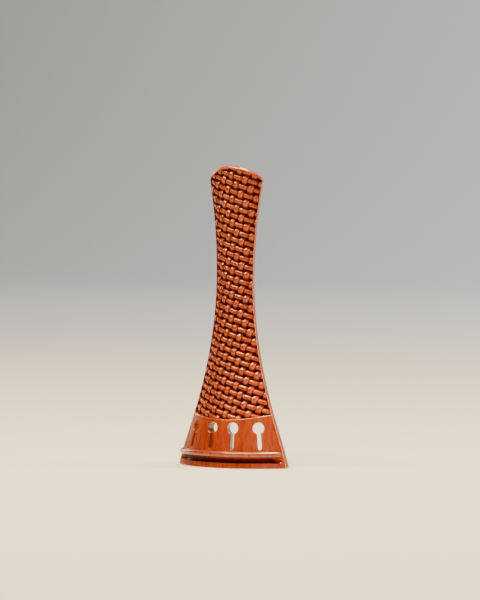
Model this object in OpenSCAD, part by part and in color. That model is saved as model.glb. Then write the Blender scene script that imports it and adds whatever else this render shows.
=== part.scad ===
// Violin tailpiece, carved with a plain basket weave on its arched front.
// It stands on its wide end: +Z runs along its length to the narrow end,
// the carved front faces -Y and the hollow underside faces +Y.

/* [Outline] */
// Overall length, wide end to the crown of the narrow end
body_l = 109.5; // [108:0.5:112]
// Width of the wide end
wide_w = 45.3; // [44:0.1:46]
// Width at the shoulder, beside the lower end of the weave
shoulder_w = 32; // [31:0.1:33]
// Width of the waist
waist_w = 15.3; // [14.8:0.1:16]
// Width of the narrow end, between its corners
narrow_w = 22.4; // [22:0.1:23]
// Height of the waist above the wide end
waist_z = 70; // [68:0.5:72]
// Radius of the narrow end's arc
end_r = 15.8; // [14:0.1:17]
// Radius of the narrow end's corners
corner_r = 0.7; // [0.3:0.1:1]

/* [Section] */
// Angle from the crown to the edge of the arch
edge_a = 47.3; // [46:0.1:49]
// Backward lean of the edges
lean_a = 1.58; // [1.4:0.02:1.8]
// Thickness of the edge at the wide end
edge_t_wide = 2.2; // [2:0.1:2.5]
// Thickness of the edge at the narrow end
edge_t_narrow = 1.36; // [1.3:0.02:1.6]
// Wall between the crown and the hollow, at the wide end
wall_wide = 3.5; // [3.2:0.1:3.8]
// Wall between the crown and the hollow, at the narrow end
wall_narrow = 3; // [2.8:0.1:3.1]
// Width of the flat rail left along each edge of the underside
rail_w = 2.2; // [2:0.1:2.6]
// Height at which the hollow ends
hollow_l = 99; // [97:0.5:100]

/* [Weave] */
// Distance between neighbouring columns, along a row
pitch_row = 2.65; // [2.6:0.01:2.7]
// Distance between neighbouring rows, along a column
pitch_col = 2.74; // [2.7:0.01:2.8]
// Fall of the rows towards the right
row_fall = 18.5; // [17.5:0.1:19.5]
// Tilt of the columns to the right of vertical
col_tilt = 17.8; // [17:0.1:19]
// Width of a strand that runs along a row
row_strand_w = 1.4; // [1.35:0.05:1.7]
// Width of a strand that runs along a column
col_strand_w = 1.6; // [1.5:0.05:1.95]
// Depth at which a strand passes under another
under_d = 0.5; // [0.4:0.05:0.6]
// Depth of the pits between the strands
pit_d = 1.05; // [0.8:0.05:1.2]
// Depth of the strands' tops below the plain surface
top_d = 0.1; // [0.05:0.05:0.2]
// Plain border beside the weave
side_border = 0.3; // [0.25:0.05:0.7]
// Plain rim around the narrow end
end_border = 1.1; // [0.9:0.1:1.4]
// Height of the weave's lower end at the middle
field_z = 17.5; // [17.5:0.1:18.5]
// Radius of the weave's lower end
field_r = 74; // [70:1:80]

/* [String holes] */
// Radius of the round holes
hole_r = 2.1; // [2:0.05:2.2]
// Width of the slots
slot_w = 1.4; // [1.3:0.1:1.6]
// Height of the round holes' centres
hole_z = 14.4; // [14.2:0.05:14.6]
// Height of the centres of the slots' round ends
slot_z = 7.3; // [7.2:0.1:7.5]
// Distance from the middle to each inner hole
inner_x = 4.2; // [4:0.1:4.4]
// Distance from the middle to each outer hole
outer_x = 13.15; // [12.9:0.05:13.3]

/* [String fret] */
// Height of the fret's middle
fret_z = 5; // [4.9:0.1:5.1]
// Width of the fret
fret_w = 2.2; // [2:0.1:2.3]
// Height that the fret stands proud
fret_proud = 1.25; // [1:0.05:1.4]
// Depth of the fret's slot
fret_depth = 1.2; // [1:0.1:1.5]
// Distance from each end of the fret to the edge
fret_inset = 0.7; // [0.6:0.1:1.4]
// Radius of the cove under the fret
cove_r = 0.9; // [0.8:0.05:0.95]
// Land left between the cove and the fret's slot
cove_land = 0.15; // [0.1:0.05:0.3]

/* [Tailgut bores] */
// Radius of the two bores for the tailgut
gut_r = 1.1; // [1:0.05:1.15]
// Distance between the bores
gut_spacing = 6.8; // [6:0.2:7]

/* [Hidden] */
arch_steps = 28;
hollow_steps = 14;
ring_step = 3;
shoulder_z = 20;
margin = 2;
extra_a = 4;
end_z = body_l - end_r + sqrt(pow(end_r, 2) - pow(narrow_w / 2, 2));
front_limit = -30;

// Stations of the outline: height, half width and slope of the side
STATIONS = [
    [0, wide_w / 2, -0.24],
    [shoulder_z, shoulder_w / 2, -0.33],
    [waist_z, waist_w / 2, 0.01],
    [end_z, narrow_w / 2, 0.21]
];

// Cubic from w0 to w1 over a height h, with slopes s0 and s1 at its ends
function cubic(w0, s0, w1, s1, h, u) =
    w0 * (1 - 3 * u * u + 2 * pow(u, 3))
    + s0 * h * (u - 2 * u * u + pow(u, 3))
    + w1 * (3 * u * u - 2 * pow(u, 3))
    + s1 * h * (pow(u, 3) - u * u);

function between(a, b, z) = cubic(a[1], a[2], b[1], b[2], b[0] - a[0], (z - a[0]) / (b[0] - a[0]));

// Half width of the outline at a height; past either end the side runs straight on
function half_w(z) =
    z < 0 ? STATIONS[0][1] + STATIONS[0][2] * z :
    z < STATIONS[1][0] ? between(STATIONS[0], STATIONS[1], z) :
    z < STATIONS[2][0] ? between(STATIONS[1], STATIONS[2], z) :
    z < STATIONS[3][0] ? between(STATIONS[2], STATIONS[3], z) :
    STATIONS[3][1] + STATIONS[3][2] * (z - STATIONS[3][0]);

// The arch is round, and its radius follows the width
function arch_r(z) = half_w(z) / sin(edge_a);
function edge_y(z) = z * tan(lean_a);
function edge_t(z) = edge_t_wide + (edge_t_narrow - edge_t_wide) * min(max(z, 0) / waist_z, 1);
function wall(z) = wall_wide + (wall_narrow - wall_wide) * min(max(z, 0) / waist_z, 1);

// The fret's crown and the narrow end's back are the extremes in Y
fret_r = arch_r(fret_z);
front_y = edge_y(fret_z) + fret_r * cos(edge_a) - fret_r - fret_proud;
back_y = edge_y(body_l) + edge_t_narrow;
mid_y = (front_y + back_y) / 2;

function arch_cy(z) = edge_y(z) + arch_r(z) * cos(edge_a) - mid_y;
function back_plane(z) = edge_y(z) + edge_t(z) - mid_y;

// Rings of the outer arch, flat at the back
function outer_ring(z) = concat(
    [for (i = [0:arch_steps])
        let (a = (edge_a + extra_a) * (2 * i / arch_steps - 1))
        [arch_r(z) * sin(a), arch_cy(z) - arch_r(z) * cos(a), z]],
    [[arch_r(z) * sin(edge_a + extra_a), back_plane(z), z]],
    [[-arch_r(z) * sin(edge_a + extra_a), back_plane(z), z]]
);

// Rings of the hollow: an arc through both rails and the inside of the crown
function hollow_half_w(z) = half_w(z) - rail_w;
function hollow_rise(z) = edge_t(z) + arch_r(z) * (1 - cos(edge_a)) - wall(z);
function hollow_r(z) = (pow(hollow_half_w(z), 2) + pow(hollow_rise(z), 2)) / (2 * hollow_rise(z));
function hollow_ring(z) =
    let (a = 2 * atan(hollow_rise(z) / hollow_half_w(z)))
    let (cy = back_plane(z) - hollow_rise(z) + hollow_r(z))
    concat(
        [for (i = [0:hollow_steps])
            let (b = a * (2 * i / hollow_steps - 1))
            [hollow_r(z) * sin(b), cy - hollow_r(z) * cos(b), z]],
        [[hollow_half_w(z), back_plane(z) + margin, z]],
        [[-hollow_half_w(z), back_plane(z) + margin, z]]
    );

// Solid skinned over a stack of rings, lowest first
module skin(rings) {
    n = len(rings[0]);
    last = len(rings) - 1;
    polyhedron(
        points = [for (ring = rings) each ring],
        faces = concat(
            [[for (k = [0:n - 1]) k]],
            [[for (k = [n - 1:-1:0]) last * n + k]],
            [for (r = [0:last - 1], k = [0:n - 1])
                let (p = r * n + k)
                let (q = r * n + (k + 1) % n)
                each [[p, p + n, q], [q, p + n, q + n]]]
        )
    );
}

// Plan of the body: both sides and the narrow end's arc
module plan() {
    rows = [for (z = [-margin + ring_step / 2:ring_step:end_z]) z];
    intersection() {
        polygon(concat(
            [for (z = rows) [half_w(z), z]],
            [[half_w(body_l + margin), body_l + margin], [-half_w(body_l + margin), body_l + margin]],
            [for (i = [len(rows) - 1:-1:0]) [-half_w(rows[i]), rows[i]]]
        ));
        union() {
            translate([0, body_l - end_r]) circle(r = end_r, $fn = 96);
            translate([-wide_w, -2 * margin]) square([2 * wide_w, body_l - end_r + 2 * margin]);
        }
    }
}

// Plan with its corners rounded, cut off square at the wide end
module rounded_plan() {
    intersection() {
        offset(r = corner_r, $fn = 32) offset(delta = -corner_r) plan();
        translate([-wide_w, 0]) square([2 * wide_w, body_l + margin]);
    }
}

// Plan of the woven field, closed by an arc at its lower end
module field_plan() {
    intersection() {
        offset(delta = -side_border) plan();
        translate([0, -end_border]) plan();
        translate([0, field_z + field_r]) circle(r = field_r, $fn = 180);
    }
}

module through(depth) {
    rotate([90, 0, 0]) linear_extrude(height = 2 * depth, center = true) children();
}

// Place of a point of the weave, counted in columns and rows from its middle
weave_x = -1.23;
weave_z = 57.4;
function weave_xz(i, j) = [
    weave_x + i * pitch_row * cos(row_fall) + j * pitch_col * sin(col_tilt),
    weave_z - i * pitch_row * sin(row_fall) + j * pitch_col * cos(col_tilt)
];

// Front surface at a place, lowered by a depth measured square to the arch
widest_a = edge_a + extra_a;
function front_at(x, z, d) =
    let (r = arch_r(z))
    let (over = max(abs(x) - r * sin(widest_a), 0))
    let (a = over > 0 ? widest_a : asin(abs(x) / r))
    arch_cy(z) - r * cos(a) + over * tan(widest_a) + d / cos(a);

// A column strand is over where the sum of column and row is even
function column_over(i, j) = (i + j) % 2 == 0;
half_col = col_strand_w / pitch_row / 2;
half_row = row_strand_w / pitch_col / 2;
lip = 0.06;

// Grid lines 3k and 3k + 1 are the sides of strand k, and 3k + 2 lies in the gap after it
function weave_point(gi, gj) =
    let (i = floor(gi / 3), j = floor(gj / 3), ti = gi - 3 * i, tj = gj - 3 * j)
    let (gap_i = column_over(i, j) ? half_col + lip : 1 - half_col - lip)
    let (gap_j = column_over(i, j) ? 1 - half_row - lip : half_row + lip)
    let (u = ti == 0 ? -half_col : ti == 1 ? half_col : tj == 2 ? 0.5 : gap_i)
    let (v = tj == 0 ? -half_row : tj == 1 ? half_row : ti == 2 ? 0.5 : gap_j)
    let (d = ti == 2 && tj == 2 ? pit_d : ti == 2 || tj == 2 ? under_d : top_d)
    let (p = weave_xz(i + u, j + v))
    [p[0], front_at(p[0], p[1], d), p[1]];

weave_cols = [-12, 12];
weave_rows = [-18, 22];

// Everything in front of the woven surface
module weave_tool() {
    nu = 3 * (weave_cols[1] - weave_cols[0]);
    nv = 3 * (weave_rows[1] - weave_rows[0]);
    grid = [for (b = [0:nv], a = [0:nu]) weave_point(3 * weave_cols[0] + a, 3 * weave_rows[0] + b)];
    rim = concat(
        [for (a = [0:nu - 1]) a],
        [for (b = [0:nv - 1]) b * (nu + 1) + nu],
        [for (a = [nu:-1:1]) nv * (nu + 1) + a],
        [for (b = [nv:-1:1]) b * (nu + 1)]
    );
    front = [for (k = rim) [grid[k][0], front_limit, grid[k][2]]];
    n = len(grid);
    polyhedron(
        points = concat(grid, front),
        faces = concat(
            [for (b = [0:nv - 1], a = [0:nu - 1])
                let (p = b * (nu + 1) + a)
                each [[p, p + 1, p + nu + 1], [p + 1, p + nu + 2, p + nu + 1]]],
            [for (k = [0:len(rim) - 1])
                let (m = (k + 1) % len(rim))
                each [[rim[k], n + k, rim[m]], [rim[m], n + k, n + m]]],
            [[for (k = [len(rim) - 1:-1:0]) n + k]]
        )
    );
}

// Carved shell, before its holes are drilled; resize keeps it to its exact length
module carved_shell() {
    zs = [for (z = [-margin:ring_step:body_l + margin]) z];
    resize([0, 0, body_l]) difference() {
        intersection() {
            skin([for (z = zs) outer_ring(z)]);
            through(wide_w) rounded_plan();
        }
        intersection() {
            skin([for (z = zs) hollow_ring(z)]);
            through(wide_w) {
                translate([0, hollow_l - narrow_w / 2]) circle(d = narrow_w, $fn = 64);
                translate([-wide_w / 2, -margin]) square([wide_w, hollow_l - narrow_w / 2 + margin]);
            }
        }
        intersection() {
            weave_tool();
            through(wide_w) field_plan();
        }
    }
}

// Angle around the arch of a place on the front
function around(x, z) = asin(x / arch_r(z));

// Frame of a string hole: on the front surface, with +Z square to the arch
module at_hole(x) {
    a = around(x, hole_z);
    translate([x, arch_cy(hole_z) - arch_r(hole_z) * cos(a), hole_z]) rotate([90, 0, a]) children();
}

// Keyhole: a round hole with a slot that leads down to the fret
module keyhole(x, slot_tilt) {
    reach = 8;
    at_hole(x) {
        translate([0, 0, -reach]) cylinder(r = hole_r, h = 2 * reach, $fn = 64);
        rotate([0, 0, slot_tilt]) {
            translate([0, slot_z - hole_z, -reach]) cylinder(d = slot_w, h = 2 * reach, $fn = 48);
            translate([-slot_w / 2, slot_z - hole_z, -reach]) cube([slot_w, hole_z - slot_z, 2 * reach]);
        }
    }
}

// The four keyholes fan out towards the wide end
outer_slot_tilt = 3.8;
inner_slot_tilt = 0.6;
module keyholes() {
    for (side = [-1, 1]) {
        keyhole(side * inner_x, side * inner_slot_tilt);
        keyhole(side * outer_x, side * outer_slot_tilt);
    }
}

// Sweeps a section around the arch at the fret's height; X of the section is the radius
fret_a = around(half_w(fret_z) - fret_inset, fret_z);
cove_z = fret_z - fret_w / 2 - cove_land - cove_r;
module around_arch(a) {
    translate([0, arch_cy(fret_z), 0]) rotate([0, 0, -90 - a])
        rotate_extrude(angle = 2 * a, $fn = 180) children();
}

module fret_section() {
    proud_r = (pow(fret_w / 2, 2) + pow(fret_proud, 2)) / (2 * fret_proud);
    translate([fret_r - fret_depth, fret_z - fret_w / 2]) square([fret_depth, fret_w]);
    intersection() {
        translate([fret_r + fret_proud - proud_r, fret_z]) circle(r = proud_r, $fn = 64);
        translate([fret_r - fret_depth, fret_z - fret_w / 2]) square([fret_depth + fret_proud, fret_w]);
    }
}

// Tailgut bores, from the narrow end into the hollow
gut_y = back_plane(hollow_l) - gut_r - 0.4;
module gut_bores() {
    for (side = [-1, 1])
        translate([side * gut_spacing / 2, gut_y, hollow_l - 1]) cylinder(r = gut_r, h = 15, $fn = 48);
}

module tailpiece_body() {
    color("chocolate") difference() {
        carved_shell();
        keyholes();
        gut_bores();
        around_arch(fret_a)
            translate([fret_r - fret_depth, fret_z - fret_w / 2]) square([2 * fret_depth, fret_w]);
        around_arch(fret_a) translate([fret_r + 0.1, cove_z]) circle(r = cove_r, $fn = 40);
    }
}

module string_fret() {
    color("sienna") around_arch(fret_a) fret_section();
}

tailpiece_body();
string_fret();
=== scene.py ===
"""Violin tailpiece with a carved basket weave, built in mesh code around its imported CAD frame.

Shapes are worked out in millimetres, cut with booleans, and scaled to metres at the end.
"""

import math

import bpy
import numpy as np
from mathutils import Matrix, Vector


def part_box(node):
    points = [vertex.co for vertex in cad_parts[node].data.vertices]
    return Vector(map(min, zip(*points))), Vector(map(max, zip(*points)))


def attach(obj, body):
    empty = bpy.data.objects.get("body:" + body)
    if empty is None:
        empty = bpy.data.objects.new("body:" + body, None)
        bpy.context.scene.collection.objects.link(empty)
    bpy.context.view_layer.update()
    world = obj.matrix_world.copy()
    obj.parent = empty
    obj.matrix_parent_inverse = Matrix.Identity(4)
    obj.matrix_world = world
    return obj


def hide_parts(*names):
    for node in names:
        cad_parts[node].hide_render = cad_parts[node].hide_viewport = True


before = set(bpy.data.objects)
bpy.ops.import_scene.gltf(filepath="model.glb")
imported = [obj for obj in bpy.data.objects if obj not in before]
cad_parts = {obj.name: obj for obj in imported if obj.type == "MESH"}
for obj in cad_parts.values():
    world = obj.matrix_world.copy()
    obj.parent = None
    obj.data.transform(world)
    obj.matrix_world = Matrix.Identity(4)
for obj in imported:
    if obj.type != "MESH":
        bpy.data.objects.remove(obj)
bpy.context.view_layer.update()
_, body_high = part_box("tailpiece_body")
fret_low, fret_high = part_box("string_fret")

MM = 0.001

# Outline and section: the overall sizes come from the frame, the rest are the design's own
BODY_L = body_high.z / MM
WIDE_HALF = body_high.x / MM
BACK_Y = body_high.y / MM
WAIST_Z = 70.0
SHOULDER_Z = 20.0
SHOULDER_HALF = 16.0
WAIST_HALF = 7.65
NARROW_HALF = 11.2
END_R = 15.8
END_Z = BODY_L - END_R + math.sqrt(END_R**2 - NARROW_HALF**2)
EDGE_A = math.radians(47.3)
EXTRA_A = math.radians(4.0)
LEAN = math.tan(math.radians(1.58))
EDGE_T_WIDE = 2.2
EDGE_T_NARROW = 1.36
WALL_WIDE = 3.5
WALL_NARROW = 3.0
RAIL_W = 2.2
HOLLOW_L = 99.0
RAIL_BEVEL = 0.2

# Arris and corner rounding
WIDE_CORNER_R = 0.45
NARROW_CORNER_R = 0.9
SIDE_ARRIS = 0.2
SIDE_ARRIS_AT_TIP = 0.6
TIP_ARRIS = 0.65
END_ARRIS = 1.3
BASE_ARRIS = 0.3
BACK_ARRIS = 0.25
END_SLANT = 0.3

# Reach of the cutting tools past the body, and the ring spacing of the lofts
FAR = 30.0
PAST_END = 1.0
FINE_STEP = 0.45
HOLLOW_FINE_STEP = 0.5
COARSE_STEP = 1.5

# Weave: a row falls to the right, a column leans to the right, and depths are under the plain front
PITCH_ROW = 2.65
PITCH_COL = 2.74
ROW_FALL = math.radians(18.5)
COL_TILT = math.radians(17.8)
WEAVE_X = -1.23
WEAVE_Z = 57.4
ROW_STRAND_W = 1.42
COL_STRAND_W = 1.52
ROW_TOP = 0.28
COL_TOP = 0.04
ROW_DIVE = 0.6
COL_DIVE = 1.0
DIVE_START = 0.42
DIVE_RUN = 0.42
HOOP_R = 1.42
HOOP_REACH = 1.15
HOOP_SLOPE = 1.7
STRAND_VARIES = 0.03
CROSSING_VARIES = 0.02
PIT_VARIES = 0.08
PIT_D = 1.35
EDGE_LEFT = 0.6
GROOVE_D = 0.28
SIDE_BORDER = 0.12
END_BORDER = 1.1
FIELD_Z = 17.5
FIELD_R = 74.0
COLUMNS = range(-13, 14)
ROWS = range(-19, 24)

# Keyholes, as (place across the front, tilt in degrees)
HOLE_R = 2.1
SLOT_W = 1.4
HOLE_Z = 14.4
SLOT_Z = 7.3
KEYHOLES = [(-13.15, -3.8), (-4.2, -0.6), (4.2, 0.6), (13.15, 3.8)]
MOUTH_R = 0.2
HOLE_DEEP = 9.0

# Wood: colours of the grain, and polish as (specular level, coat weight)
WOOD_LIGHT = (0.50, 0.088, 0.006)
WOOD_MID = (0.38, 0.048, 0.002)
WOOD_DARK = (0.25, 0.024, 0.001)
POLISHED = (0.5, 0.8)
DULL = (0.05, 0.0)

# Painted shade by depth, as a fraction of the depth on the next line: the pits and the cove are darkened in
# the colour where shade falls, and plain wood, at 0, is painted darker than the strands' tops to stand in for
# the brighter light on the raised weave
SHADE_RAMP_DEPTH = 2.0
PAINTED_DEPTH_SHADE = [
    (0.0, (0.68, 0.60, 0.55)),
    (0.03, (1, 1, 1)),
    (0.26, (0.88, 0.80, 0.74)),
    (0.48, (0.48, 0.35, 0.29)),
    (0.62, (0.13, 0.07, 0.06)),
]

# Fret, cove and tailgut bores
FRET_Z = (fret_low.z + fret_high.z) / 2 / MM
FRET_W = (fret_high.z - fret_low.z) / MM
FRET_PROUD = 1.25
FRET_DEPTH = 1.2
FRET_INSET = 0.7
FRET_END_R = 0.45
FRET_GAP = 0.02
COVE_DEEP = 0.9
COVE_TALL = 1.1
COVE_Z = 2.85
COVE_PAST_FRET = 0.3
COVE_RUN_OUT = 3.5
GUT_R = 1.1
GUT_X = 3.4
GUT_MOUTH_R = 0.25
GUT_WALL = 0.4


# ---------------------------------------------------------------- shape functions

# Height, half width and slope of the outline
STATIONS = [
    (0.0, WIDE_HALF, -0.24),
    (SHOULDER_Z, SHOULDER_HALF, -0.33),
    (WAIST_Z, WAIST_HALF, 0.01),
    (END_Z, NARROW_HALF, 0.21),
]


def half_w(z):
    """Half width of the outline: cubics between the stations, straight past the ends."""
    z = np.asarray(z, float)
    out = WIDE_HALF + STATIONS[0][2] * z
    for (z0, w0, s0), (z1, w1, s1) in zip(STATIONS[:-1], STATIONS[1:]):
        h = z1 - z0
        u = (z - z0) / h
        cubic = (
            w0 * (1 - 3 * u**2 + 2 * u**3)
            + s0 * h * (u - 2 * u**2 + u**3)
            + w1 * (3 * u**2 - 2 * u**3)
            + s1 * h * (u**3 - u**2)
        )
        out = np.where(z >= z0, cubic, out)
    last_z, last_w, last_s = STATIONS[-1]
    return np.where(z > last_z, last_w + last_s * (z - last_z), out)


def side_slope(z):
    return (half_w(z + 0.01) - half_w(z - 0.01)) / 0.02


def arch_r(z):
    return half_w(z) / math.sin(EDGE_A)


def up_to_waist(z):
    return np.clip(np.asarray(z, float) / WAIST_Z, 0, 1)


def edge_y(z):
    return BACK_Y - EDGE_T_NARROW - (BODY_L - np.asarray(z, float)) * LEAN


def back_plane(z):
    return edge_y(z) + EDGE_T_WIDE + (EDGE_T_NARROW - EDGE_T_WIDE) * up_to_waist(z)


def wall(z):
    return WALL_WIDE + (WALL_NARROW - WALL_WIDE) * up_to_waist(z)


def arch_cy(z):
    return edge_y(z) + arch_r(z) * math.cos(EDGE_A)


def front_at(x, z, depth=0.0):
    """Y of the arched front at (x, z), lowered by a depth measured square to the arch."""
    r = arch_r(z)
    widest = EDGE_A + EXTRA_A
    over = np.maximum(np.abs(x) - r * math.sin(widest), 0)
    a = np.where(over > 0, widest, np.arcsin(np.clip(np.abs(x) / r, 0, math.sin(widest))))
    return arch_cy(z) - r * np.cos(a) + over * math.tan(widest) + depth / np.cos(a)


def smooth(t):
    t = np.clip(t, 0, 1)
    return t * t * (3 - 2 * t)


# ---------------------------------------------------------------- mesh helpers


def mesh_object(name, points, faces):
    """A mesh object in millimetres, turned right side out."""
    mesh = bpy.data.meshes.new(name)
    mesh.from_pydata(np.asarray(points, float).tolist(), [], [tuple(map(int, f)) for f in faces])
    mesh.update()
    obj = bpy.data.objects.new(name, mesh)
    bpy.context.scene.collection.objects.link(obj)
    mesh.calc_loop_triangles()
    co = np.zeros(len(mesh.vertices) * 3)
    mesh.vertices.foreach_get("co", co)
    tri = np.zeros(len(mesh.loop_triangles) * 3, int)
    mesh.loop_triangles.foreach_get("vertices", tri)
    a, b, c = np.moveaxis(co.reshape(-1, 3)[tri.reshape(-1, 3)], 1, 0)
    if np.einsum("ij,ij->", a, np.cross(b, c)) < 0:
        mesh.flip_normals()
    return obj


def loft(name, loops):
    """A closed solid through a stack of loops that have the same number of points."""
    loops = np.asarray(loops, float)
    k, n, _ = loops.shape
    faces = [list(range(n)), [(k - 1) * n + i for i in range(n - 1, -1, -1)]]
    for r in range(k - 1):
        for i in range(n):
            j = (i + 1) % n
            faces.append([r * n + j, r * n + i, (r + 1) * n + i, (r + 1) * n + j])
    return mesh_object(name, loops.reshape(-1, 3), faces)


def combine(target, tool, operation):
    """Applies one boolean to target, and deletes the tool."""
    mod = target.modifiers.new("combine", "BOOLEAN")
    mod.operation = operation
    mod.solver = "MANIFOLD"
    mod.object = tool
    graph = bpy.context.evaluated_depsgraph_get()
    mesh = bpy.data.meshes.new_from_object(target.evaluated_get(graph))
    target.modifiers.clear()
    target.data = mesh
    bpy.data.objects.remove(tool)
    if not len(mesh.polygons):
        raise RuntimeError(f"{operation} on {target.name} left nothing")
    return target


def cut(target, tool):
    return combine(target, tool, "DIFFERENCE")


def rounding(steps):
    """Fractions (inset, depth) along a rounded arris, from the face it leaves to the wall."""
    angles = np.linspace(0, math.pi / 2, steps)
    return [(1 - math.sin(a), 1 - math.cos(a)) for a in angles]


# ---------------------------------------------------------------- body blank


def corner_arc(corner, into, out, r, n):
    """Points of an arc of radius r that rounds a corner, where into and out are unit travel directions."""
    corner, into, out = (np.asarray(v, float) for v in (corner, into, out))
    turn = math.acos(float(np.clip(into @ out, -1, 1)))
    t = r * math.tan(turn / 2)
    start = corner - into * t
    inward = np.array([-into[1], into[0]])
    centre = start + inward * r
    angles = np.linspace(0, turn, n)
    c, s = np.cos(angles), np.sin(angles)
    spoke = -inward * r
    return centre + np.stack([c * spoke[0] - s * spoke[1], s * spoke[0] + c * spoke[1]], 1), t


def unit(v):
    v = np.asarray(v, float)
    return v / np.linalg.norm(v)


def plan_contour():
    """The closed plan, and each point's front arris radius.

    The right half runs from the middle of the base round to the crown of the narrow end, and is mirrored.
    """
    base_points, side_points, end_points = 44, 150, 34
    base_gap, gap = 0.2, 0.25
    side_blend, end_blend = 8, 5
    base_corner = (WIDE_HALF, 0.0)
    base_arc, base_t = corner_arc(
        base_corner, (1, 0), unit((float(side_slope(0.02)), 1)), WIDE_CORNER_R, 8
    )
    tip = (NARROW_HALF, END_Z)
    tip_arc, tip_t = corner_arc(
        tip,
        unit((float(side_slope(END_Z)), 1)),
        unit((-(END_Z - BODY_L + END_R), NARROW_HALF)),
        NARROW_CORNER_R,
        9,
    )
    base_x = np.linspace(0, WIDE_HALF - base_t - base_gap, base_points)
    base = np.stack([base_x, np.zeros(base_points)], 1)
    zs = np.linspace(base_t + gap, END_Z - tip_t - gap, side_points)
    side = np.stack([half_w(zs), zs], 1)
    start = math.atan2(NARROW_HALF, END_Z - BODY_L + END_R) - (tip_t + gap) / END_R
    angles = np.linspace(start, 0, end_points)
    end = np.stack([END_R * np.sin(angles), BODY_L - END_R + END_R * np.cos(angles)], 1)
    half = np.concatenate([base, base_arc, side, tip_arc, end])
    arris = np.concatenate(
        [
            np.full(len(base), BASE_ARRIS),
            np.full(len(base_arc), BASE_ARRIS),
            SIDE_ARRIS + (SIDE_ARRIS_AT_TIP - SIDE_ARRIS) * smooth((zs - END_Z + side_blend) / side_blend),
            np.full(len(tip_arc), TIP_ARRIS),
            TIP_ARRIS + (END_ARRIS - TIP_ARRIS) * smooth((NARROW_HALF - end[:, 0]) / end_blend),
        ]
    )
    left = half[1:-1][::-1] * np.array([-1, 1])
    return np.concatenate([half, left]), np.concatenate([arris, arris[1:-1][::-1]])


def inset(contour, amount):
    """Moves a counterclockwise contour inwards by an amount at each point."""
    tangent = np.roll(contour, -1, 0) - np.roll(contour, 1, 0)
    tangent /= np.linalg.norm(tangent, axis=1)[:, None]
    inward = np.stack([-tangent[:, 1], tangent[:, 0]], 1)
    return contour + inward * np.asarray(amount)[:, None]


def at_y(xz, y):
    y = np.broadcast_to(y, xz.shape[:1])
    return np.stack([xz[:, 0], y, xz[:, 1]], 1)


def rounded_plan():
    """The plan as a prism along Y, its front arris rounded to follow the arch and its back arris too."""
    contour, arris = plan_contour()
    loops = [at_y(inset(contour, arris), -FAR)]
    for o, d in rounding(7):
        ring = inset(contour, arris * o)
        loops.append(at_y(ring, front_at(ring[:, 0], ring[:, 1]) + arris * d))
    depth = back_plane(contour[:, 1]) - front_at(contour[:, 0], contour[:, 1])
    slant_before, slant_blend = 1.5, 2
    slant = END_SLANT * depth * smooth((contour[:, 1] - END_Z + slant_before) / slant_blend)
    for o, d in reversed(rounding(4)):
        ring = inset(contour, slant + BACK_ARRIS * o)
        loops.append(at_y(ring, back_plane(ring[:, 1]) - BACK_ARRIS * d))
    loops.append(at_y(inset(contour, slant + BACK_ARRIS), FAR))
    return loft("plan", loops)


def heights(low, high, fine_low, fine_high, fine, coarse):
    """Ring heights: fine steps near both ends, coarse ones between."""
    return np.concatenate(
        [
            np.arange(low, fine_low, fine),
            np.arange(fine_low, fine_high, coarse),
            np.arange(fine_high, high + fine, fine),
        ]
    )


def arched_blank():
    """The arched front over the flat back, wider than the outline and longer than the body."""
    loops = []
    angles = np.linspace(-EDGE_A - EXTRA_A, EDGE_A + EXTRA_A, 130)
    for z in heights(-PAST_END, BODY_L + PAST_END, 21.0, 103.0, FINE_STEP, COARSE_STEP):
        r = float(arch_r(z))
        x = r * np.sin(angles)
        y = float(arch_cy(z)) - r * np.cos(angles)
        back = float(back_plane(z))
        x = np.concatenate([x, [x[-1], x[0]]])
        y = np.concatenate([y, [back, back]])
        loops.append(np.stack([x, y, np.full(len(x), z)], 1))
    return loft("blank", loops)


def hollow_tool():
    """The underside's hollow: an arc under the crown between the rails, with a small bevel at each rail."""
    loops = []
    for z in heights(-PAST_END, HOLLOW_L + PAST_END, 2.0, 94.0, HOLLOW_FINE_STEP, COARSE_STEP):
        hw = float(half_w(z)) - RAIL_W
        back = float(back_plane(z))
        rise = back - (float(arch_cy(z) - arch_r(z)) + float(wall(z)))
        r = (hw**2 + rise**2) / (2 * rise)
        end = 2 * math.atan(rise / hw)
        angles = np.linspace(-end, end, 70)
        x = r * np.sin(angles)
        y = back - rise + r - r * np.cos(angles)
        x[[0, -1]] = [-hw - RAIL_BEVEL, hw + RAIL_BEVEL]
        x = np.concatenate([x, [hw + RAIL_BEVEL, -hw - RAIL_BEVEL]])
        behind = back + 2
        y = np.concatenate([y, [behind, behind]])
        loops.append(np.stack([x, y, np.full(len(x), z)], 1))
    tool = loft("hollow", loops)
    end_r = NARROW_HALF
    angles = np.linspace(0, math.pi, 80)
    arc = np.stack([end_r * np.cos(angles), HOLLOW_L - end_r + end_r * np.sin(angles)], 1)
    low, widest, narrowed = -3.0, 50.0, 60.0
    left = [[-end_r, narrowed], [-WIDE_HALF, widest], [-WIDE_HALF, low]]
    right = [[WIDE_HALF, low], [WIDE_HALF, widest], [end_r, narrowed]]
    plan = np.concatenate([left, right, arc])
    prism = loft("hollow_plan", [at_y(plan, -FAR), at_y(plan, FAR)])
    return combine(tool, prism, "INTERSECT")


# ---------------------------------------------------------------- keyholes, cove, fret slot, bores


def keyhole_outline(offset):
    """Keyhole in its own plane: a round hole with a slot below it, grown by an offset."""
    big, small = HOLE_R + offset, SLOT_W / 2 + offset
    reach = HOLE_Z - SLOT_Z
    meet = math.asin(small / big)
    round_hole = np.linspace(-math.pi / 2 + meet, 1.5 * math.pi - meet, 56)
    top = np.stack([big * np.cos(round_hole), big * np.sin(round_hole)], 1)
    start = -big * math.cos(meet)
    left = np.stack([np.full(14, -small), np.linspace(start, -reach, 16)[1:-1]], 1)
    slot_end = np.linspace(math.pi, 2 * math.pi, 18)
    foot = np.stack([small * np.cos(slot_end), small * np.sin(slot_end) - reach], 1)
    return np.concatenate([top, left, foot, left[::-1] * np.array([-1, 1])])


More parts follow.
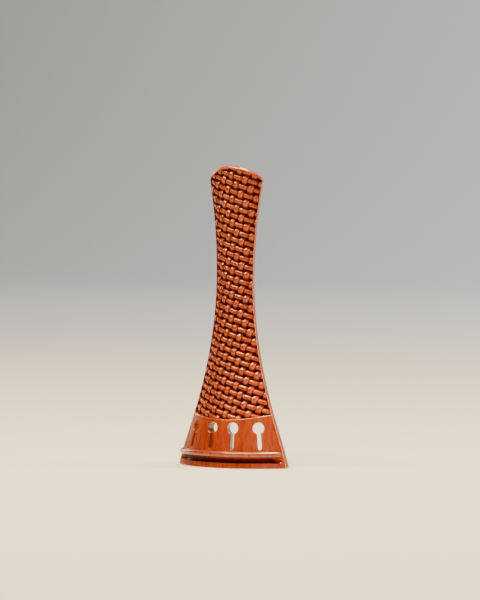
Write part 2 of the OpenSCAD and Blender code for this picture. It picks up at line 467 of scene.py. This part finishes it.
def keyhole_tool(x, tilt):
    """A straight keyhole, drilled square to the arch, whose mouth is rounded along the curved front."""
    r0 = float(arch_r(HOLE_Z))
    a = math.asin(x / r0)
    origin = np.array([x, float(arch_cy(HOLE_Z)) - r0 * math.cos(a)])
    along = np.array([math.cos(a), math.sin(a)])
    outward = np.array([math.sin(a), -math.cos(a)])
    lean = math.radians(tilt)

    def ring(offset, depth, deep=None):
        p = keyhole_outline(offset)
        p = np.stack([p[:, 0] * math.cos(lean) - p[:, 1] * math.sin(lean),
                      p[:, 0] * math.sin(lean) + p[:, 1] * math.cos(lean)], 1)
        z = HOLE_Z + p[:, 1]
        start = origin + p[:, :1] * along
        if deep is None:
            rel = start - np.stack([np.zeros(len(z)), arch_cy(z)], 1)
            b = rel @ outward
            s = -b + np.sqrt(b**2 - (rel**2).sum(1) + arch_r(z) ** 2) - depth
        else:
            s = np.full(len(z), -deep)
        xy = start + s[:, None] * outward
        return np.stack([xy[:, 0], xy[:, 1], z], 1)

    in_front = -3.0
    loops = [ring(MOUTH_R, in_front)]
    loops += [ring(MOUTH_R * o, MOUTH_R * d) for o, d in rounding(6)]
    loops.append(ring(0.0, 0.0, deep=HOLE_DEEP))
    return loft("keyhole", loops)


def around_arch(a, r, z):
    """Points at radius r and height z around the arch at the fret's height."""
    cy = float(arch_cy(FRET_Z))
    return np.stack([r * np.sin(a), cy - r * np.cos(a), z + np.zeros_like(r * np.sin(a))], -1)


FRET_R = float(arch_r(FRET_Z))
FRET_A = math.asin((float(half_w(FRET_Z)) - FRET_INSET) / FRET_R)


def fret_slot_tool():
    z0, z1 = FRET_Z - FRET_W / 2, FRET_Z + FRET_W / 2
    inner, outer = FRET_R - FRET_DEPTH, FRET_R + 3
    section = [(inner, z0), (outer, z0), (outer, z1), (inner, z1)]
    angles = np.linspace(-FRET_A, FRET_A, 120)
    return loft("fret_slot", [[around_arch(a, r, z) for r, z in section] for a in angles])


def cove_tool():
    """A round groove under the fret that runs out to a point at both ends."""
    psi = np.linspace(0, 2 * math.pi, 28, endpoint=False)
    reach = FRET_A + COVE_PAST_FRET / FRET_R
    proud = 0.05
    loops = []
    for t in np.linspace(-1, 1, 140):
        run_out = max(1 - (1 - abs(t)) * reach * FRET_R / COVE_RUN_OUT, 0)
        r = FRET_R + proud + run_out * COVE_DEEP + COVE_DEEP * np.cos(psi)
        loops.append(around_arch(np.full(len(psi), t * reach), r, COVE_Z + COVE_TALL * np.sin(psi)))
    return loft("cove", loops)


def gut_bore_tool(x):
    """One tailgut bore, from the hollow out through the narrow end, its mouth rounded along the end's arc."""
    psi = np.linspace(0, 2 * math.pi, 48, endpoint=False)
    y = float(back_plane(HOLLOW_L)) - GUT_R - GUT_WALL
    rings = [(GUT_R, HOLLOW_L - PAST_END)]
    top = BODY_L - END_R + math.sqrt(END_R**2 - x**2)
    rings += [(GUT_R + GUT_MOUTH_R * o, top - GUT_MOUTH_R * d) for o, d in reversed(rounding(5))]
    rings.append((GUT_R + GUT_MOUTH_R, BODY_L + 3))
    loops = [np.stack([x + r * np.cos(psi), y + r * np.sin(psi), np.full(len(psi), z)], 1) for r, z in rings]
    slope = x / math.sqrt(END_R**2 - x**2)
    for loop in loops[1:-1]:
        loop[:, 2] -= (loop[:, 0] - x) * slope
    return loft("gut_bore", loops)


# ---------------------------------------------------------------- weave


# A strand's section: how far out from its middle, and how far below its top, with the groove at 0.33
SECTION = [0.0, 0.22, 0.33, 0.44, 0.66, 0.86, 1.0]
ROW_DROP = [0.0, 0.015, GROOVE_D, 0.06, 0.13, 0.27, 0.46]
COL_DROP = [0.0, 0.01, GROOVE_D, 0.04, 0.06, 0.13, 0.30]
# In half strand widths: where the pit's floor starts beside a strand, and how far out still counts as on it
FOOT = 1.08
ON_STRAND = 1.001


def strand_lines(half, gap_lines):
    """Grid lines over one pitch, in pitches, along a strand's engraved section and the gap beside it."""
    across = [-FOOT] + [-t for t in SECTION[::-1]] + SECTION[1:] + [FOOT]
    return [t * half for t in across] + gap_lines


def jitter(i, j, salt):
    """A fixed value from -1 to 1 for each crossing, so that the strands differ a little."""
    h = np.sin(i * 12.9898 + j * 78.233 + salt * 37.719) * 43758.5453
    return 2 * (h - np.floor(h)) - 1


def carve_depth(u, v):
    """Depth of the weave under the plain surface, at a place counted in columns and rows."""
    half_col = COL_STRAND_W / PITCH_ROW / 2
    half_row = ROW_STRAND_W / PITCH_COL / 2
    i, j = np.round(u), np.round(v)
    du, dv = np.abs(u - i), np.abs(v - j)
    col_over = np.mod(i + j, 2) == 0
    from_row_top = np.where(col_over, 1 - du, du)
    from_col_top = np.where(col_over, dv, 1 - dv)
    row_run = ROW_DIVE * smooth((from_row_top - DIVE_START) / DIVE_RUN)
    along = from_col_top * PITCH_COL
    arc = HOOP_R - np.sqrt(HOOP_R**2 - np.minimum(along, HOOP_REACH) ** 2)
    col_run = np.minimum(arc + HOOP_SLOPE * np.maximum(along - HOOP_REACH, 0), COL_DIVE)
    row_d = ROW_TOP + row_run + np.interp(dv / half_row, SECTION, ROW_DROP)
    col_d = COL_TOP + col_run + np.interp(du / half_col, SECTION, COL_DROP)
    row_d = row_d + STRAND_VARIES * jitter(np.zeros_like(j), j, 1) + CROSSING_VARIES * jitter(i, j, 2)
    col_d = col_d + STRAND_VARIES * jitter(i, np.zeros_like(i), 3) + CROSSING_VARIES * jitter(i, j, 4)
    pit = np.full_like(u, PIT_D) + PIT_VARIES * jitter(np.floor(u), np.floor(v), 5)
    on_row, on_col = dv <= half_row * ON_STRAND, du <= half_col * ON_STRAND
    depth = np.where(on_row, row_d, pit)
    return np.where(on_col, np.minimum(depth, col_d), depth)


def weave_xz(u, v):
    """Place on the front of column u and row v."""
    x = WEAVE_X + u * PITCH_ROW * math.cos(ROW_FALL) + v * PITCH_COL * math.sin(COL_TILT)
    z = WEAVE_Z - u * PITCH_ROW * math.sin(ROW_FALL) + v * PITCH_COL * math.cos(COL_TILT)
    return x, z


def weave_tool():
    """Everything in front of the woven surface, over the cells that the field reaches."""
    col_lines = strand_lines(COL_STRAND_W / PITCH_ROW / 2, [0.5])
    row_lines = strand_lines(ROW_STRAND_W / PITCH_COL / 2, [0.4, 0.6])
    us = (np.array(COLUMNS)[:, None] + np.array(col_lines)).ravel()
    vs = (np.array(ROWS)[:, None] + np.array(row_lines)).ravel()
    u, v = np.meshgrid(us, vs)
    x, z = weave_xz(u, v)
    y = np.minimum(front_at(x, z, carve_depth(u, v)), back_plane(z) - EDGE_LEFT)
    beside, beyond = 1.5, 2
    near = (np.abs(x) < half_w(z) + beside) & (z > FIELD_Z - beyond) & (z < BODY_L + beyond)
    nv, nu = u.shape
    ids = np.arange(nv * nu).reshape(nv, nu)
    keep = near[:-1, :-1] | near[1:, 1:] | near[1:, :-1] | near[:-1, 1:]
    quads = np.stack([ids[:-1, :-1], ids[:-1, 1:], ids[1:, 1:], ids[1:, :-1]], -1)[keep]
    used, quads = np.unique(quads, return_inverse=True)
    quads = quads.reshape(-1, 4)
    back = np.stack([x.ravel(), y.ravel(), z.ravel()], 1)[used]
    front = back.copy()
    front[:, 1] = -FAR
    n = len(back)
    edges = np.concatenate([quads[:, [k, (k + 1) % 4]] for k in range(4)])
    key = edges[:, 0] * n + edges[:, 1]
    rim = edges[~np.isin(edges[:, 1] * n + edges[:, 0], key)]
    walls = np.stack([rim[:, 1], rim[:, 0], rim[:, 0] + n, rim[:, 1] + n], 1)
    faces = np.concatenate([quads, quads[:, ::-1] + n, walls])
    return mesh_object("weave", np.concatenate([back, front]), faces)


def meet(f, low, high):
    """The place between low and high where f changes sign."""
    for _ in range(50):
        mid = (low + high) / 2
        if (f(mid) > 0) == (f(low) > 0):
            low = mid
        else:
            high = mid
    return low


def field_contour(side, end, z0):
    """Contour of the field, for a border at its sides, a rim at its end and the height of its lower arc."""
    cz = BODY_L - END_R - end

    def above_lower_arc(z):
        return z - (z0 + FIELD_R - math.sqrt(FIELD_R**2 - float(half_w(z) - side) ** 2))

    def above_upper_arc(z):
        return z - (cz + math.sqrt(END_R**2 - float(half_w(z) - side) ** 2))

    corner = meet(above_lower_arc, z0, z0 + 8)
    tip = meet(above_upper_arc, END_Z - 4, END_Z + 1)
    x0 = float(half_w(corner)) - side
    x = np.linspace(-x0, x0, 60)
    lower = np.stack([x, z0 + FIELD_R - np.sqrt(FIELD_R**2 - x**2)], 1)
    zs = np.linspace(corner, tip, 110)[1:-1]
    right = np.stack([half_w(zs) - side, zs], 1)
    a = math.asin((float(half_w(tip)) - side) / END_R)
    angles = np.linspace(a, -a, 50)
    upper = np.stack([END_R * np.sin(angles), cz + END_R * np.cos(angles)], 1)
    return np.concatenate([lower, right, upper, right[::-1] * np.array([-1, 1])])


def field_tool():
    """The field as a prism along Y, whose mouth is eased where it meets the plain surface."""
    ease_side, ease_end, ease_low, ease_d = 0.1, 0.3, 0.4, 0.35

    def ring(o, d):
        side, end = SIDE_BORDER - ease_side * o, END_BORDER - ease_end * o
        xz = field_contour(side, end, FIELD_Z - ease_low * o)
        return at_y(xz, front_at(xz[:, 0], xz[:, 1]) + ease_d * d)

    outer = ring(1, 0)
    inner = ring(0, 1)
    loops = [at_y(outer[:, [0, 2]], -FAR)]
    loops += [ring(o, d) for o, d in rounding(5)]
    loops.append(at_y(inner[:, [0, 2]], FAR))
    return loft("field", loops)


# ---------------------------------------------------------------- pieces


def coordinates(obj):
    co = np.zeros(len(obj.data.vertices) * 3)
    obj.data.vertices.foreach_get("co", co)
    return co.reshape(-1, 3)


def to_metres(obj):
    obj.data.vertices.foreach_set("co", coordinates(obj).ravel() * MM)
    obj.data.update()


def shade(obj, degrees):
    obj.data.shade_smooth()
    obj.data.set_sharp_from_angle(angle=math.radians(degrees))


def add_depth(obj):
    """Stores how deep each carved point lies under the plain front, in millimetres, as the input to the
    painted shade in the wood colour; the cove's depths are scaled up so that it is painted darker.

    Returns 1 for each face in a pit and 0 for the others. Faces that look backwards aren't carved.
    """
    cove_top, field_bottom = 4, 16.5
    deepest_carved, pit_mean, backwards = 2.4, 0.5, 0.2
    cove_shade_boost, edge_margin = 1.15, 0.12
    x, y, z = coordinates(obj).T
    depth = (y - front_at(x, z)) * np.cos(np.arcsin(np.clip(x / arch_r(z), -1, 1)))
    inside = np.abs(x) < half_w(z) - edge_margin
    carved = inside & (depth < deepest_carved) & ((z > field_bottom) | (z < cove_top))
    # Painted shadow: the cove's depths are scaled up so that its colour is darker under the fret
    depth = np.where(z < cove_top, cove_shade_boost * depth, depth)
    depth = np.where(carved, np.clip(depth, 0, SHADE_RAMP_DEPTH), 0)
    sizes = np.zeros(len(obj.data.polygons), int)
    obj.data.polygons.foreach_get("loop_total", sizes)
    corners = np.zeros(len(obj.data.loops), int)
    obj.data.loops.foreach_get("vertex_index", corners)
    normals = np.zeros(len(sizes) * 3)
    obj.data.polygons.foreach_get("normal", normals)
    depth[corners[np.repeat(normals.reshape(-1, 3)[:, 1] > backwards, sizes)]] = 0
    layer = obj.data.attributes.new("carve_depth", "FLOAT", "POINT")
    layer.data.foreach_set("value", depth.astype(np.float32))
    starts = np.concatenate([[0], np.cumsum(sizes)[:-1]])
    mean = np.add.reduceat(depth[corners], starts) / sizes
    return (mean > pit_mean).astype(int)


def build_body():
    body = arched_blank()
    combine(body, rounded_plan(), "INTERSECT")
    cut(body, hollow_tool())
    for x, tilt in KEYHOLES:
        cut(body, keyhole_tool(x, tilt))
    cut(body, fret_slot_tool())
    cut(body, cove_tool())
    for x in (-GUT_X, GUT_X):
        cut(body, gut_bore_tool(x))
    weave = weave_tool()
    combine(weave, field_tool(), "INTERSECT")
    cut(body, weave)
    pits = add_depth(body)
    body.data.materials.clear()
    body.data.materials.append(wood("carved_wood", *POLISHED))
    body.data.materials.append(wood("pit_wood", *DULL))
    body.data.polygons.foreach_set("material_index", pits)
    return body


def build_fret():
    """The half-round bar with its tenon, its ends eased."""
    psi = np.linspace(0, math.pi, 25)
    fullness = 0.9
    span = FRET_A * FRET_R - FRET_GAP
    half = FRET_W / 2 - FRET_GAP
    tenon = FRET_R - FRET_DEPTH + FRET_GAP
    left = np.array([-span] + [-span + FRET_END_R * d for o, d in rounding(5)][1:])
    middle = np.linspace(-span + FRET_END_R, span - FRET_END_R, 150)[1:-1]
    loops = []
    for s in np.concatenate([left, middle, -left[::-1]]):
        from_end = min(span - abs(s), FRET_END_R)
        inset_by = FRET_END_R - math.sqrt(FRET_END_R**2 - (FRET_END_R - from_end) ** 2)
        r = FRET_R + (FRET_PROUD - inset_by) * np.sin(psi) ** fullness
        z = FRET_Z - half * np.cos(psi)
        r = np.concatenate([[tenon], r, [tenon]])
        z = np.concatenate([[FRET_Z - half], z, [FRET_Z + half]])
        loops.append(around_arch(np.full(len(r), s / FRET_R), r, z))
    return loft("fret", loops)


# ---------------------------------------------------------------- materials


# Sockets of a Mix node that mixes colours
MIX_FACTOR, MIX_A, MIX_B = 0, 6, 7
MIX_COLOUR = 2


class Nodes:
    """Short calls for a material's nodes."""

    def __init__(self, name):
        self.material = bpy.data.materials.new(name)
        self.material.use_nodes = True
        self.tree = self.material.node_tree
        self.shader = self.tree.nodes["Principled BSDF"]

    def add(self, kind, **values):
        node = self.tree.nodes.new(kind)
        for key, value in values.items():
            if key in node.inputs:
                node.inputs[key].default_value = value
            else:
                setattr(node, key, value)
        return node

    def link(self, a, out, b, into):
        self.tree.links.new(a.outputs[out], b.inputs[into])

    def ramp(self, source, out, stops):
        node = self.tree.nodes.new("ShaderNodeValToRGB")
        while len(node.color_ramp.elements) < len(stops):
            node.color_ramp.elements.new(0.5)
        for element, (place, colour) in zip(node.color_ramp.elements, stops):
            element.position = place
            element.color = (*colour, 1)
        self.link(source, out, node, "Fac")
        return node

    def noise(self, coords, scale, **values):
        """Noise over the object's own coordinates, stretched by a scale along each axis."""
        stretch = self.tree.nodes.new("ShaderNodeMapping")
        stretch.inputs["Scale"].default_value = scale
        self.link(coords, "Object", stretch, "Vector")
        node = self.add("ShaderNodeTexNoise", Scale=1.0, **values)
        self.link(stretch, "Vector", node, "Vector")
        return node

    def multiply(self, factor, a, b):
        """The colour output of a times the colour output of b, at a strength from 0 to 1."""
        node = self.tree.nodes.new("ShaderNodeMix")
        node.data_type = "RGBA"
        node.blend_type = "MULTIPLY"
        node.inputs[MIX_FACTOR].default_value = factor
        self.tree.links.new(a, node.inputs[MIX_A])
        self.tree.links.new(b, node.inputs[MIX_B])
        return node.outputs[MIX_COLOUR]


def wood(name, specular, coat):
    """Oiled, polished hardwood: fine straight grain along Z, short pores, and painted shade that darkens the
    colour with the carving's depth.
    """
    n = Nodes(name)
    coords = n.add("ShaderNodeTexCoord")
    grain = n.noise(coords, (900, 900, 26), Detail=5.0, Roughness=0.62, Distortion=0.25)
    tone = n.ramp(grain, "Fac", [(0.28, WOOD_DARK), (0.5, WOOD_MID), (0.74, WOOD_LIGHT)])
    broad = n.noise(coords, (110, 110, 9), Detail=2.0, Roughness=0.5)
    bands = n.ramp(broad, "Fac", [(0.3, (0.78, 0.70, 0.66)), (0.7, (1.14, 1.12, 1.08))])
    pore = n.noise(coords, (5200, 5200, 420), Detail=1.0, Roughness=0.5)
    pores = n.ramp(pore, "Fac", [(0.30, (0.50, 0.38, 0.32)), (0.42, (1, 1, 1))])

    # Painted shade: the colour darkens with carved depth in the pits and the cove, and plain wood is painted
    # darker than the strands' tops, standing in for light and shade
    depth = n.add("ShaderNodeAttribute", attribute_name="carve_depth")
    scaled = n.add("ShaderNodeMath", operation="DIVIDE")
    n.link(depth, "Fac", scaled, 0)
    scaled.inputs[1].default_value = SHADE_RAMP_DEPTH
    pits = n.ramp(scaled, "Value", PAINTED_DEPTH_SHADE)

    colour = n.multiply(0.8, tone.outputs["Color"], bands.outputs["Color"])
    colour = n.multiply(0.6, colour, pores.outputs["Color"])
    # Multiplies in the painted shade by depth
    colour = n.multiply(1.0, colour, pits.outputs["Color"])
    n.tree.links.new(colour, n.shader.inputs["Base Color"])

    rough = n.add("ShaderNodeMapRange")
    rough.inputs["To Min"].default_value = 0.22
    rough.inputs["To Max"].default_value = 0.36
    n.link(grain, "Fac", rough, "Value")
    n.link(rough, "Result", n.shader, "Roughness")
    bump = n.add("ShaderNodeBump", Strength=0.25, Distance=0.00004)
    n.link(pore, "Fac", bump, "Height")
    n.link(bump, "Normal", n.shader, "Normal")
    n.shader.inputs["Coat Weight"].default_value = coat
    n.shader.inputs["Coat Roughness"].default_value = 0.16
    n.shader.inputs["Specular IOR Level"].default_value = specular
    return n.material


def plain(name, colour, roughness):
    n = Nodes(name)
    n.shader.inputs["Base Color"].default_value = (*colour, 1)
    n.shader.inputs["Roughness"].default_value = roughness
    return n.material


# ---------------------------------------------------------------- scene


body = build_body()
body.name = "carved_tailpiece_body"
to_metres(body)
shade(body, 32)
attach(body, "root")
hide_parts("tailpiece_body")

fret = build_fret()
fret.name = "half_round_string_fret"
to_metres(fret)
shade(fret, 40)
fret.data.materials.clear()
fret.data.materials.append(wood("fret_wood", *POLISHED))
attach(fret, "root")
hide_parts("string_fret")


def add_floor():
    """A pale paper sweep: floor, a wide curve, and a wall well behind the object."""
    side, front, curve, far, top = 6.0, -6.0, 1.2, 3.0, 6.0
    steps = 24
    profile = [(front, 0.0)]
    for k in range(steps + 1):
        a = math.pi / 2 * k / steps
        profile.append((far - curve + curve * math.sin(a), curve - curve * math.cos(a)))
    profile.append((far, top))
    points = [(x, y, z) for y, z in profile for x in (-side, side)]
    faces = [(2 * k, 2 * k + 1, 2 * k + 3, 2 * k + 2) for k in range(len(profile) - 1)]
    mesh = bpy.data.meshes.new("paper_sweep")
    mesh.from_pydata(points, [], faces)
    mesh.shade_smooth()
    floor = bpy.data.objects.new("paper_sweep", mesh)
    bpy.context.scene.collection.objects.link(floor)
    mesh.materials.append(plain("paper", (0.60, 0.60, 0.60), 0.9))


def add_camera():
    """A long lens 30 degrees round to the right, near the narrow end's height, aimed just off the axis."""
    azimuth, distance, height = math.radians(30), 1.25, 0.106
    down, aside = math.radians(2.08), 0.00287 / distance
    foot_y = float(edge_y(0)) * MM
    cam = bpy.data.cameras.new("camera")
    cam.lens = 206.25
    cam.sensor_width = 36
    obj = bpy.data.objects.new("camera", cam)
    obj.location = (distance * math.sin(azimuth), foot_y - distance * math.cos(azimuth), height)
    level = Vector((-math.sin(azimuth), math.cos(azimuth), 0))
    forward = level * math.cos(down) + Vector((0, 0, -math.sin(down)))
    right = Vector((math.cos(azimuth), math.sin(azimuth), 0))
    obj.rotation_euler = (forward + right * aside).to_track_quat("-Z", "Y").to_euler()
    bpy.context.scene.collection.objects.link(obj)
    bpy.context.scene.camera = obj


def add_area(name, place, aim, size, watts, colour):
    light = bpy.data.lights.new(name, "AREA")
    light.shape = "RECTANGLE"
    light.size, light.size_y = size
    light.energy = watts
    light.color = colour
    obj = bpy.data.objects.new(name, light)
    obj.location = place
    obj.rotation_euler = (Vector(aim) - Vector(place)).to_track_quat("-Z", "Y").to_euler()
    bpy.context.scene.collection.objects.link(obj)


WARM = (1.0, 0.80, 0.46)
WARM_FILL = (1.0, 0.80, 0.50)
WARM_SIDE = (1.0, 0.76, 0.38)
WHITE = (1.0, 1.0, 1.0)


def add_lights():
    """Warm soft boxes round the object, and a white one on the backdrop."""
    middle = (0, 0, 0.06)
    add_area("top", (-0.17, -0.34, 0.82), middle, (0.55, 0.10), 14, WARM)
    add_area("overhead", (0.16, 0.0, 0.92), middle, (0.40, 0.12), 24, WARM)
    add_area("front", (0.58, -0.62, 0.16), middle, (0.5, 0.4), 0.4, WARM_FILL)
    add_area("left", (-0.78, 0.28, 0.32), middle, (0.20, 0.40), 2.2, WARM_FILL)
    add_area("side", (0.80, 0.30, 0.22), middle, (0.16, 0.50), 10, WARM_SIDE)
    add_area("backdrop", (0.0, 0.9, 1.6), (0.0, 3.0, 0.6), (1.5, 0.6), 60, WHITE)
    world = bpy.data.worlds.new("studio")
    world.use_nodes = True
    background = world.node_tree.nodes["Background"]
    background.inputs["Color"].default_value = (0.86, 0.87, 0.88, 1)
    background.inputs["Strength"].default_value = 0.08
    bpy.context.scene.world = world


add_floor()
add_camera()
add_lights()
